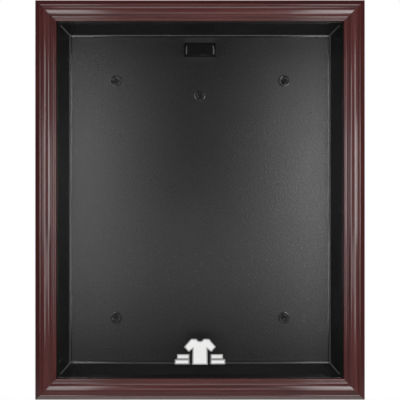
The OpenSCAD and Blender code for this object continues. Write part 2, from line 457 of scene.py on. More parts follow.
class Plug:
    """A shader socket with arithmetic: each operation adds a Math node."""

    def __init__(self, bench: "Bench", socket: bpy.types.NodeSocket) -> None:
        """Wraps a socket of a bench's node tree."""
        self.bench = bench
        self.socket = socket

    def _math(self, operation: str, first: "Plug | float", second: "Plug | float") -> "Plug":
        """Adds one Math node for two values."""
        return self.bench.node("Math", {"operation": operation}, {0: first, 1: second})

    def __add__(self, other: "Plug | float") -> "Plug":
        """Sum."""
        return self._math("ADD", self, other)

    __radd__ = __add__

    def __rsub__(self, other: "Plug | float") -> "Plug":
        """Difference of a number and the socket."""
        return self._math("SUBTRACT", other, self)

    def __mul__(self, other: "Plug | float") -> "Plug":
        """Product."""
        return self._math("MULTIPLY", self, other)

    __rmul__ = __mul__

    def spread(self, low: float, high: float) -> "Plug":
        """Stretches the values between low and high over 0 to 1, and clamps the rest."""
        inputs = {"Value": self, "From Min": low, "From Max": high}
        return self.bench.node("MapRange", {"clamp": True}, inputs)


class Bench:
    """A material in the making: a Principled shader and the nodes that feed it."""

    def __init__(self, name: str) -> None:
        """Starts a material with an empty node tree.

        Args:
            name: The material's name.
        """
        self.material = bpy.data.materials.new(name)
        self.material.use_nodes = True
        self.tree = self.material.node_tree
        self.tree.nodes.clear()

    def node(
        self, kind: str, settings: dict | None = None, inputs: dict | None = None, output: int | str = 0
    ) -> Plug:
        """Adds a node.

        Args:
            kind: The node's type, without its ShaderNode prefix.
            settings: Properties to set first; stops are a ramp's (place, colour) pairs.
            inputs: Values or plugs for its sockets.
            output: The socket that is returned.

        Returns:
            One of the node's outputs.
        """
        made = self.tree.nodes.new("ShaderNode" + kind)
        for key, value in (settings or {}).items():
            if key == "stops":
                for element, (place, colour) in zip(made.color_ramp.elements, value):
                    element.position, element.color = place, (*colour, 1)
            else:
                setattr(made, key, value)
        for key, value in (inputs or {}).items():
            if isinstance(value, Plug):
                self.tree.links.new(value.socket, made.inputs[key])
            else:
                made.inputs[key].default_value = value
        return Plug(self, made.outputs[output])

    def place(self, scale: Sequence[float]) -> Plug:
        """The piece's own coordinates, scaled along each axis."""
        own = self.node("TexCoord", output="Object")
        return self.node("Mapping", {}, {"Vector": own, "Scale": tuple(scale)})

    def noise(
        self, scale: float | Sequence[float], detail: float = 2.0, rough: float = 0.5, warp: float = 0.0
    ) -> Plug:
        """Adds a noise texture.

        Args:
            scale: Cells to the metre, the same or different along each axis.
            detail: Number of finer layers.
            rough: Strength of the finer layers.
            warp: How far the pattern is pushed about.

        Returns:
            Its value.
        """
        steps = scale if isinstance(scale, Sequence) else (scale, scale, scale)
        inputs = {
            "Vector": self.place(steps), "Scale": 1.0, "Detail": detail, "Roughness": rough,
            "Distortion": warp,
        }
        return self.node("TexNoise", {}, inputs)

    def mix(
        self, factor: Plug | float, first: Plug | Sequence[float], second: Plug | Sequence[float]
    ) -> Plug:
        """Mixes two colours.

        Args:
            factor: Share of the second.
            first: The first colour.
            second: The second colour.

        Returns:
            The mixed colour.
        """
        colours = [c if isinstance(c, Plug) else (*c, 1) for c in (first, second)]
        inputs = {0: factor, 6: colours[0], 7: colours[1]}
        return self.node("Mix", {"data_type": "RGBA"}, inputs, output=2)

    def bump(self, height: Plug, depth: float, strength: float = 1.0, below: Plug | None = None) -> Plug:
        """Adds a bump of a real depth.

        Args:
            height: The height, from 0 to 1.
            depth: Depth of the full height, in metres.
            strength: How strongly it shows.
            below: Another bump that it lies on.

        Returns:
            The normal.
        """
        inputs: dict = {"Height": height, "Distance": depth, "Strength": strength}
        if below:
            inputs["Normal"] = below
        return self.node("Bump", {}, inputs)

    def dress(self, **sockets: object) -> bpy.types.Material:
        """Adds the Principled shader.

        Args:
            **sockets: Values or plugs, under the sockets' names with _ for a space.

        Returns:
            The finished material.
        """
        named = {key.replace("_", " "): value for key, value in sockets.items()}
        shader = self.node("BsdfPrincipled", {}, named)
        self.node_output(shader)
        return self.material

    def node_output(self, shader: Plug) -> None:
        """Joins a shader to the material's output."""
        output = self.tree.nodes.new("ShaderNodeOutputMaterial")
        self.tree.links.new(shader.socket, output.inputs["Surface"])


class Grain(Enum):
    """The axis along which a length of moulding was sawn."""

    LEVEL = (7.0, 160.0, 160.0)
    UPRIGHT = (160.0, 160.0, 7.0)


@dataclass(frozen=True)
class Mahogany:
    """Dark red-brown stain, with lacquer on the faces that show."""

    dark: tuple[float, float, float] = (0.038, 0.0068, 0.0064)
    light: tuple[float, float, float] = (0.112, 0.0245, 0.0230)
    coat: float = 1.0
    roughness: float = 0.46
    coat_roughness: float = 0.17

    def material(self, name: str, grain: Grain) -> bpy.types.Material:
        """Makes the finish for one direction of grain.

        Args:
            name: The material's name.
            grain: The direction.

        Returns:
            The material.
        """
        bench = Bench(name)
        along = grain.value
        figure = bench.noise([s * 0.22 for s in along], detail=5, rough=0.62, warp=0.6)
        streaks = bench.noise([s * 1.6 for s in along], detail=4, rough=0.6)
        pores = bench.noise([s * 6.0 for s in along], detail=2).spread(0.56, 0.72)
        tone = (figure * 0.55 + streaks * 0.45).spread(0.34, 0.68)
        stained = bench.mix(tone, self.dark, self.light)
        colour = bench.mix(pores * 0.5, stained, self.dark)
        rough = streaks * 0.12 + pores * 0.10 + (self.roughness - 0.06)
        swell = bench.bump(streaks, 0.00003, 0.4)
        normal = bench.bump(1 - pores, 0.00003, 0.5, below=swell)
        return bench.dress(
            Base_Color=colour, Roughness=rough, Normal=normal, IOR=1.5, Specular_IOR_Level=0.2,
            Coat_Weight=self.coat, Coat_Roughness=self.coat_roughness, Coat_IOR=1.5,
        )


@dataclass(frozen=True)
class Moulded:
    """Black moulded plastic: the depth and pitch of its surface set how it looks."""

    colour: tuple[float, float, float] = (0.0108, 0.0106, 0.0108)
    roughness: float = 0.17
    pitch: float = 900.0
    depth: float = 0.00002
    # Share of painted sheen: a lighter patch round the rod hook that stands for reflected light.
    painted_sheen: float = 0.0
    contrast: float = 2.2
    patch_reach: float = 24.0
    patch_fade: float = 12.0

    def painted_sheen_mask(self, bench: Bench) -> Plug:
        """Mask of the painted sheen, a lighter patch of panel round the rod hook that stands for light
        reflected there, strongest next to the hook.

        Args:
            bench: The material in the making.

        Returns:
            The mask.
        """
        low, high = node_box("rod_hook")
        split = {"Vector": bench.node("TexCoord", output="Object")}
        x = bench.node("SeparateXYZ", {}, split, output=0)
        z = bench.node("SeparateXYZ", {}, split, output=2)
        outer, inner = (high.x + 4) * MM, (high.x - self.patch_fade) * MM
        across = (x * x).spread(outer ** 2, inner ** 2)
        below = z.spread((low.z - self.patch_reach) * MM, low.z * MM)
        over = z.spread((high.z + self.patch_reach) * MM, (high.z + self.patch_fade) * MM)
        return across * below * below * over

    def material(self, name: str) -> bpy.types.Material:
        """Makes the finish.

        Args:
            name: The material's name.

        Returns:
            The material.
        """
        bench = Bench(name)
        pebbles = bench.node(
            "TexVoronoi", {"feature": "SMOOTH_F1"},
            {"Vector": bench.place((1, 1, 1)), "Scale": self.pitch, "Smoothness": 0.7},
        )
        mottle = bench.noise(self.pitch * 0.7, detail=3, rough=0.6)
        clouds = bench.noise(9, detail=3)
        lighter = tuple(c * self.contrast for c in self.colour)
        colour = bench.mix(mottle.spread(0.35, 0.7), self.colour, lighter)
        # Painted sheen: the panel round the rod hook is lightened to stand for light reflected there.
        if self.painted_sheen:
            colour = bench.mix(self.painted_sheen_mask(bench) * self.painted_sheen, colour, (0.05, 0.05, 0.051))
        rough = mottle * 0.18 + clouds * 0.06 + (self.roughness - 0.12)
        low = bench.bump(mottle, self.depth * 1.5, 0.9)
        return bench.dress(
            Base_Color=colour, Roughness=rough, IOR=1.5,
            Normal=bench.bump(pebbles, self.depth, 0.9, below=low),
        )


@dataclass(frozen=True)
class Steel:
    """Plated or blackened steel."""

    colour: tuple[float, float, float] = (0.56, 0.56, 0.57)
    roughness: float = 0.34
    metallic: float = 1.0

    def material(self, name: str) -> bpy.types.Material:
        """Makes the finish, with faint rolling marks and dull patches.

        Args:
            name: The material's name.

        Returns:
            The material.
        """
        bench = Bench(name)
        marks = bench.noise((300, 300, 2600), detail=2)
        patches = bench.noise(160, detail=3)
        duller = tuple(c * 0.72 for c in self.colour)
        return bench.dress(
            Base_Color=bench.mix(patches.spread(0.4, 0.75), self.colour, duller),
            Roughness=marks * 0.12 + patches * 0.12 + (self.roughness - 0.12),
            Metallic=self.metallic,
            Normal=bench.bump(marks, 0.00001, 0.4),
        )


def clear_sheet(name: str) -> bpy.types.Material:
    """Makes polished clear sheet, which shows more at a glancing angle.

    Args:
        name: The material's name.

    Returns:
        The material.
    """
    bench = Bench(name)
    glance = bench.node("LayerWeight", {}, {"Blend": 0.3}, output="Facing")
    haze = bench.noise(14, detail=2)
    return bench.dress(
        Base_Color=(0.012, 0.014, 0.015, 1), Roughness=haze * 0.03 + 0.015, IOR=1.49,
        Alpha=glance * glance * 1.2 + 0.003,
    )


def white_print(name: str) -> bpy.types.Material:
    """Makes screen-printed white ink, with a fine mesh texture.

    Args:
        name: The material's name.

    Returns:
        The material.
    """
    bench = Bench(name)
    mesh = bench.noise(1800, detail=2)
    return bench.dress(
        Base_Color=bench.mix(mesh, (0.86, 0.86, 0.85), (0.93, 0.93, 0.92)),
        Roughness=mesh * 0.1 + 0.4, Normal=bench.bump(mesh, 0.00001, 0.3),
    )


class Finishes:
    """Every material of the case, made once."""

    def __init__(self) -> None:
        """Makes the materials."""
        self.wood = {grain: Mahogany().material(f"mahogany_{grain.name.lower()}", grain) for grain in Grain}
        bare = Mahogany(dark=(0.05, 0.02, 0.014), light=(0.12, 0.05, 0.034), coat=0.0, roughness=0.72)
        self.bare = {grain: bare.material(f"bare_wood_{grain.name.lower()}", grain) for grain in Grain}
        self.smooth_black = Moulded().material("black_moulding")
        # The panel carries a painted sheen, a lighter patch round the rod hook standing for reflected light.
        self.pebble_black = Moulded(
            colour=(0.0026, 0.0026, 0.0027), roughness=0.31, pitch=340, depth=0.00036,
            painted_sheen=0.35, contrast=8.0,
        ).material("black_pebble")
        self.hook_black = Moulded(
            colour=(0.0048, 0.0048, 0.0050), roughness=0.17, pitch=1500, depth=0.00001,
        ).material("black_hook")
        # A paler black that paints highlights on the hook's rounded edges and on the tray's corner and foot
        # beads.
        self.painted_highlight_black = Moulded(colour=(0.085, 0.085, 0.086), roughness=0.3).material("black_painted_highlight")
        self.zinc = Steel().material("zinc_plate")
        blackened = Steel(colour=(0.035, 0.035, 0.037), roughness=0.42, metallic=0.8)
        self.black_steel = blackened.material("black_steel")
        self.sheet = clear_sheet("clear_acrylic")
        self.ink = white_print("white_ink")


# ---------------------------------------------------------------- sub-assemblies


@dataclass
class Moulding:
    """The four mitred lengths of the wooden frame."""

    finishes: Finishes
    side_h: float = 9.0
    crest_u: float = 17.0
    crest_r: float = 3.0
    hump: Point = (29.5, 22.3)
    hump_r: float = 20.1
    hump_end: float = 12.0
    bead_r: float = 3.0
    bead_h: float = 11.0
    rabbet_w: float = 8.0
    rabbet_h: float = 7.0
    mitre_gap: float = 0.08

    def __post_init__(self) -> None:
        """Reads the frame's size from the left stile and the top rail."""
        low, high = node_box("left_stile")
        self.width = high.x - low.x
        self.depth = high.y - low.y
        self.back = high.y
        self.height = high.z - low.z
        self.span = node_box("top_rail")[1].x - node_box("top_rail")[0].x

    def section(self) -> list[Point]:
        """Works out the moulding's outline.

        Returns:
            Points of (distance inwards from the outer edge, distance forwards from the back).
        """
        crest_h = self.depth - self.crest_r
        hump_u, hump_h = self.hump
        start = 180 - math.degrees(math.acos((hump_u - self.crest_u - self.crest_r) / self.hump_r))
        end = math.degrees(math.acos((self.width - self.hump_end - hump_u) / self.hump_r))
        bead = (self.width - self.bead_r, self.bead_h)
        rabbet_u = self.width - self.rabbet_w
        return [
            (0.5, 0), (0.15, 0.15), (0, 0.5),
            (0, self.side_h - 0.3), (0.15, self.side_h + 0.1), (0.4, self.side_h + 0.35),
            *arc((self.crest_u, crest_h), self.crest_r, 176, 8, 18),
            *arc((hump_u, hump_h - self.hump_r), self.hump_r, start - 1, end, 40),
            (45.7, 14.5), (46.6, 14.45), (47.3, 14.1), (47.8, 13.2),
            (48.4, 12.5), (49.2, 12.2), (50.4, 12.25),
            *arc(bead, self.bead_r, 150, 0, 16),
            (self.width, self.rabbet_h), (rabbet_u, self.rabbet_h), (rabbet_u, 0),
        ]

    def length(self, name: str, node: str, size: float, place: Matrix, grain: Grain) -> None:
        """Makes one mitred length.

        Args:
            name: The piece's name.
            node: The CAD node that it replaces.
            size: Its outside length.
            place: From a length that stands upright at the left to its own place.
            grain: Direction of its grain.
        """
        form = Form()
        base = form.face((u, -h, -size / 2) for u, h in self.section())
        form.extrude(base, (0, 0, size))
        for end in SIDES:
            geometry = list(form.bm.verts) + list(form.bm.edges) + list(form.bm.faces)
            cut = bmesh.ops.bisect_plane(
                form.bm, geom=geometry, dist=1e-4, plane_co=(0, 0, end * (size / 2 - self.mitre_gap)),
                plane_no=(1, 0, end), clear_outer=True, clear_inner=False,
            )
            rim = [g for g in cut["geom_cut"] if isinstance(g, BMEdge)]
            bmesh.ops.contextual_create(form.bm, geom=rim)
        form.move(place)
        bmesh.ops.recalc_face_normals(form.bm, faces=form.bm.faces)
        for face in form.bm.faces:
            face.material_index = int(face.normal.y > 0.9)
        piece = form.finish(name, [self.finishes.wood[grain], self.finishes.bare[grain]], angle=32)
        settle(piece, "door", "frame_wood", node)

    def build(self) -> None:
        """Makes the two stiles and the two rails."""
        left = Matrix.Translation((-self.span / 2, self.back, 0))
        top = Matrix.Translation((0, self.back, self.height / 2)) @ Matrix.Rotation(math.radians(90), 4, "Y")
        across = Matrix.Diagonal((-1, 1, 1, 1))
        over = Matrix.Diagonal((1, 1, -1, 1))
        self.length("stile_left", "left_stile", self.height, left, Grain.UPRIGHT)
        self.length("stile_right", "right_stile", self.height, across @ left, Grain.UPRIGHT)
        self.length("rail_top", "top_rail", self.span, top, Grain.LEVEL)
        self.length("rail_bottom", "bottom_rail", self.span, over @ top, Grain.LEVEL)


@dataclass
class Glazing:
    """The clear front sheet and the shirt emblem printed on it."""

    finishes: Finishes
    line: float = 0.9
    gap: float = 1.2
    film: float = 0.25

    def sheet(self) -> None:
        """Makes the front sheet with polished edges."""
        form = Form().block(*node_box("front_acrylic")).ease(0.4)
        settle(form.finish("front_sheet", [self.finishes.sheet]), "door", "clear_acrylic", "front_acrylic")

    def outlines(self) -> list[list[Point]]:
        """Works out a plain shirt and the two bars at each side of it.

        Returns:
            Their outlines, about the emblem's middle.
        """
        neck = arc((0, 37.5), 10, 200, 340, 12)
        shirt = [
            (-20, -34), (20, -34), (19.5, 8), (30.5, 0), (42, 13), (24, 34), *reversed(neck),
            (-24, 34), (-42, 13), (-30.5, 0), (-19.5, 8),
        ]
        bars = []
        for side in SIDES:
            for row, reach in ((-27, 67), (-13, 61)):
                ends = sorted((side * 29, side * reach))
                bars.append([(ends[0], row - 6), (ends[1], row - 6), (ends[1], row + 6), (ends[0], row + 6)])
        return [shirt, *bars]

    def emblem(self) -> None:
        """Makes each outline a thin line around a solid shape."""
        low, high = node_box("front_emblem")
        middle = (low + high) / 2
        form = Form()
        for outline in self.outlines():
            face = form.face((middle.x + x, high.y, middle.z + z) for x, z in outline)
            for width, keep in ((self.line, True), (self.gap, False)):
                ring = bmesh.ops.inset_region(
                    form.bm, faces=[face], thickness=width, use_even_offset=True, use_boundary=True
                )
                if not keep:
                    bmesh.ops.delete(form.bm, geom=ring["faces"], context="FACES")
        faces = list(form.bm.faces)
        made = bmesh.ops.extrude_face_region(form.bm, geom=faces, use_keep_orig=True)["geom"]
        bmesh.ops.translate(form.bm, verts=[g for g in made if isinstance(g, BMVert)], vec=(0, -self.film, 0))
        settle(form.finish("front_print", [self.finishes.ink]), "door", "white_print", "front_emblem")

    def build(self) -> None:
        """Makes the sheet and its print."""
        self.sheet()
        self.emblem()


@dataclass
class Tray:
    """The moulded tray: one shell from the back panel's front, round its lip, to the panel's rear."""

    finishes: Finishes
    wall: float = 3.0
    panel_front: float = -8.0
    draft: float = 16.0
    collar: float = 14.0
    collar_lean: float = 0.7
    flange: float = 17.3
    return_depth: float = 16.0
    corner_r: float = 5.0
    fillet_r: float = 4.5
    margin: float = 5.6
    foot: float = 6.0
    crease_r: float = 1.7
    foot_r: float = 1.2
    foot_level_r: float = 0.72
    foot_out: float = 0.2
    foot_rise: float = 1.5
    cup_r: float = 16.5
    recess_r: float = 13.5
    recess_depth: float = 3.5
    notch_back: float = -30.0
    slack: float = 2.0

    def __post_init__(self) -> None:
        """Reads the tray's size from its CAD node."""
        low, high = node_box("back_tray")
        self.lip = low.y
        self.half_x = high.x - self.flange - self.collar_lean - self.draft
        self.half_z = high.z - self.flange - self.collar_lean - self.draft

    def path(self) -> list[Point]:
        """Section of the tray, from the panel's front round the lip to the panel's rear.

        Returns:
            Points of (distance outside the panel's edge, y).
        """
        back = self.panel_front
        collar_y = self.lip + self.collar
        lean = math.degrees(math.atan2(self.draft, back - collar_y))
        tangent = self.fillet_r * math.tan(math.radians(90 - lean) / 2)
        fillet = arc((-tangent, back - self.fillet_r), self.fillet_r, 90, lean, 8)
        top = self.draft + self.collar_lean
        edge = top + self.flange
        flange_back = self.lip + self.wall
        end = self.lip + self.return_depth
        rear = back + self.wall
        w = self.wall
        return [
            (-self.fillet_r, back), *fillet,
            (self.draft - 0.9, collar_y + 2.6), (self.draft - 0.2, collar_y + 0.6),
            (self.draft + 0.1, collar_y - 2),
            *arc((top + 1.3, self.lip + 1.3), 1.3, 180, 270, 5),
            *arc((edge - 0.9, self.lip + 0.9), 0.9, -90, 0, 4),
            *arc((edge - 0.5, end - 0.5), 0.5, 0, 90, 3), *arc((edge - w + 0.5, end - 0.5), 0.5, 90, 180, 3),
            *arc((edge - w - 1, flange_back + 1), 1, 0, -90, 4),
            *arc((top + w + 1, flange_back + 1), 1, -90, -180, 4),
            (self.draft + w, collar_y),
            *arc((w - 2.2, rear - 2.6), 2.6, lean, 90, 6),
            (0.6, rear), *arc((-0.5, -0.5), 0.5, 0, 90, 3), *arc((-self.foot + 0.5, -0.5), 0.5, 90, 180, 3),
            (-self.foot, rear), (-self.foot - 1, rear),
        ]

    def cup(self, form: Form, x: float, z: float) -> tuple[list[BMEdge], list[BMEdge]]:
        """Makes one stepped screw recess.

        Args:
            form: The tray's form.
            x: Place of its axis across.
            z: Height of its axis.

        Returns:
            Its loops on the panel's front and rear.
        """
        front = self.panel_front
        floor = front + self.recess_depth
        rear = front + self.wall
        profile = [
            (self.recess_r + 3.2, front), (self.recess_r + 2.2, front), (self.recess_r + 1.6, front - 0.3),
            *arc((self.recess_r + 0.9, front + 0.4), 0.9, 270, 180, 4),
            *arc((self.recess_r - 2.4, floor - 2.4), 2.4, 0, 90, 6),
            (9.2, floor), *arc((7.6, floor - 0.7), 1.2, 20, -160, 7), (5.6, floor + 0.1),
            (2.9, floor + 2), (2.5, floor + 2.3), (2.5, -0.3), (2.8, 0),
            *arc((self.cup_r - 0.6, -0.6), 0.6, 90, 0, 3), (self.cup_r, rear), (self.cup_r + 0.8, rear),
        ]
        centre = (x, front, z)
        loops = [form.circle(centre, profile[0][0])]
        for (r0, y0), (r1, y1) in zip(profile, profile[1:]):
            loops.append(form.turn_loop(loops[-1], centre, r1 / r0, y1 - y0))
        return loops[0], loops[-1]

    def bead(self, start: Vector, end: Vector, radius: float) -> Form:
        """Makes a thin round bead.

        Args:
            start: One end.
            end: The other end.
            radius: Its radius.

        Returns:
            The bead.
        """
        run = end - start
        form = Form()
        turn = run.to_track_quat("Z", "Y").to_matrix().to_4x4()
        bmesh.ops.create_cone(
            form.bm, cap_ends=True, segments=12, radius1=radius, radius2=radius, depth=run.length,
            matrix=Matrix.Translation((start + end) / 2) @ turn,
        )
        return form

    def beads(self) -> Form:
        """Makes the beads along the corners of the leaning walls and round the foot of them.

        Returns:
            All of them in one form.
        """
        inset = self.corner_r * (1 - math.sqrt(0.5)) + 0.1
        form = Form()
        for sx, sz in itertools.product(SIDES, SIDES):
            front = Vector((
                sx * (self.half_x + self.draft - inset), self.lip + self.collar,
                sz * (self.half_z + self.draft - inset),
            ))
            back = Vector((sx * (self.half_x - inset), self.panel_front, sz * (self.half_z - inset)))
            form.add(self.bead(front, back, self.crease_r), Matrix.Identity(4))
        reach = (self.half_x - inset, self.half_z - inset)
        foot = self.panel_front - self.foot_rise
        for side in SIDES:
            x, z = side * (self.half_x + self.foot_out), side * (self.half_z + self.foot_out)
            upright = (Vector((x, foot, -reach[1])), Vector((x, foot, reach[1])))
            level = (Vector((-reach[0], foot, z)), Vector((reach[0], foot, z)))
            for (start, end), radius in ((upright, self.foot_r), (level, self.foot_level_r)):
                form.add(self.bead(start, end, radius), Matrix.Identity(4))
        return form

    def build(self) -> None:
        """Makes the shell and its recesses, cuts the notches for the turn buttons and adds the hinge pads."""
        form = Form()
        path = self.path()
        out, front = path[0]
        start = form.rounded_loop((0, front, 0), self.half_x + out, self.half_z + out, self.corner_r)
        ring = start
        for (o0, y0), (o1, y1) in zip(path, path[1:]):
            ring = form.step_loop(ring, o1 - o0, y1 - y0)
        rim = form.step_loop(start, self.fillet_r - self.margin, 0)
        cups = [self.cup(form, x, z) for x, z in screw_places()]
        for face in form.fill([*rim, *(e for front, _ in cups for e in front)]):
            face.material_index = 1
        form.fill([*ring, *(e for _, rear in cups for e in rear)])
        bmesh.ops.remove_doubles(form.bm, verts=form.bm.verts, dist=1e-3)
        edge = self.half_x + self.draft + self.collar_lean + self.flange
        for node in ("turn_button_upper", "turn_button_lower"):
            low, high = node_box(node)
            form.carve(Form().block(
                (edge - self.wall - 1, self.lip + self.wall, low.z - self.slack),
                (edge + self.slack, self.notch_back, high.z + self.slack),
            ))
        for number in range(1, 5):
            low, high = node_box(f"tray_hinge_leaf_{number}")
            block = Form().block(
                (-edge + 1, self.lip + 1, low.z - self.slack),
                (-edge + self.flange, self.lip + self.return_depth, high.z + self.slack),
            )
            form.carve(block, "UNION")
        looks = [self.finishes.smooth_black, self.finishes.pebble_black]
        settle(form.finish("tray_shell", looks, angle=28), "tray", "tray_plastic", "back_tray")
        # The beads are dressed in the paler black, a painted highlight along the wall corners and round the
        # panel's foot.
        settle(self.beads().finish("tray_beads", [self.finishes.painted_highlight_black]), "tray", "tray_plastic")


@dataclass
class RodHook:
    """The pocket-shaped clip that takes the hanging rod."""

    finishes: Finishes
    base_t: float = 5.0
    skin: float = 3.0
    tongue_half: float = 38.25
    tongue_h: float = 26.5
    tongue_r: float = 8.0
    front_r: float = 5.0
    shoulder_r: float = 2.2
    edge_facing: Point = (-0.95, -0.25)
    edge_side: float = 0.2
    beyond: float = 60.0
    above: float = 5.0

    def mark_edges(self, form: Form) -> None:
        """Gives the second material, a paler black that paints a highlight, to the rounded faces between the
        clip's front and its sides.

        Args:
            form: The clip.
        """
        form.bm.normal_update()
        front, side = self.edge_facing
        for face in form.bm.faces:
            if front < face.normal.y < side and abs(face.normal.x) > self.edge_side:
                face.material_index = 1

    def build(self) -> None:
        """Carves the clip from a wedge-sided block."""
        low, high = node_box("rod_hook")
        half, depth, height = high.x, high.y - low.y, high.z - low.z
        inner_back, inner_front = -self.base_t, -depth + self.skin
        lean = math.degrees(math.atan2(half - self.tongue_half, depth))
        away = self.tongue_half - self.front_r * math.tan(math.radians(90 - lean) / 2)
        front = arc((away, self.front_r - depth), self.front_r, -90, -lean, 8)
        outline = [(half, 0), *reversed(front), *((-x, y) for x, y in front), (-half, 0)]
        form = Form().prism([(x, y, 0) for x, y in outline], (0, 0, height))
        side = self.skin + 0.6
        form.carve(Form().prism(
            [
                (-half + side, inner_back, self.skin), (-self.tongue_half + side, inner_front, self.skin),
                (self.tongue_half - side, inner_front, self.skin), (half - side, inner_back, self.skin),
            ],
            (0, 0, height),
        ))
        top = height + self.above
        web = depth - self.base_t
        dip = arc((-depth, height), web, -math.degrees(math.acos(self.skin / web)), 0, 14)
        form.carve(Form().prism(
            [(-self.beyond, y, z) for y, z in [*dip, (inner_back, top), (inner_front, top)]],
            (2 * self.beyond, 0, 0),
        ))
        middle = (self.tongue_half - self.tongue_r, self.tongue_h - self.tongue_r)
        corner = arc(middle, self.tongue_r, 0, 90, 10)
        shoulder = [(self.beyond, self.tongue_h - self.tongue_r), *corner]
        mirrored = [(-x, z) for x, z in reversed(shoulder)]
        outline = [*shoulder, *mirrored, (-self.beyond, top), (self.beyond, top)]
        form.carve(Form().prism([(x, -depth - 1, z) for x, z in outline], (0, self.skin + 1, 0)))
        bmesh.ops.dissolve_limit(
            form.bm, angle_limit=math.radians(1), verts=form.bm.verts, edges=form.bm.edges
        )
        shoulders = [
            e for e in form.sharp_edges(30)
            if all(v.co.y < inner_front - 0.5 and v.co.z > self.tongue_h - self.tongue_r - 1 for v in e.verts)
        ]
        form.ease(self.shoulder_r, segments=4, edges=shoulders)
        form.ease(0.5, angle=30, segments=2)
        self.mark_edges(form)
        form.move(Matrix.Translation((0, high.y, low.z)))
        # The second finish paints a highlight on the clip's rounded edges.
        looks = [self.finishes.hook_black, self.finishes.painted_highlight_black]
        settle(form.finish("hook_clip", looks), "tray", "tray_plastic", "rod_hook")


@dataclass(frozen=True)
class Screw:
    """A cross-recessed screw with its head's top at the origin and its point towards -Z."""

    length: float
    shank_r: float
    head_r: float
    head_t: float
    pan: bool = False
    pitch: float = 1.2

    def form(self) -> Form:
        """Turns the screw, with its thread as ridges, and cuts the cross recess arm by arm.

        Returns:
            The screw.
        """
        core = self.shank_r * 0.78
        if self.pan:
            head = [
                (0, 0), (self.head_r * 0.55, -self.head_t * 0.08), (self.head_r * 0.88, -self.head_t * 0.42),
                (self.head_r, -self.head_t * 0.8), (self.head_r, -self.head_t),
                (self.shank_r, -self.head_t),
            ]
        else:
            head = [(0, 0), (self.head_r, 0), (self.head_r, -0.15), (self.shank_r, -self.head_t)]
        neck = -self.head_t - 2.0
        ridges = int((self.length + neck - 3) / self.pitch)
        thread: list[Point] = [(self.shank_r, neck)]
        for i in range(ridges):
            z = neck - i * self.pitch
            thread += [
                (core, z - 0.3 * self.pitch), (core, z - 0.7 * self.pitch), (self.shank_r, z - self.pitch),
            ]
        body = Form().lathe([*head, *thread, (0, -self.length)], steps=24)
        arm, wide, deep = self.head_r * 0.58, self.head_r * 0.2, min(self.head_t * 0.9, 1.6)
        for turn in (0, 90):
            bar = Form().block((-arm, -wide / 2, -deep), (arm, wide / 2, 1))
            bmesh.ops.scale(bar.bm, verts=[v for v in bar.bm.verts if v.co.z < 0], vec=(0.35, 0.9, 1))
            body.carve(bar.move(Matrix.Rotation(math.radians(turn), 4, "Z")))
        return body


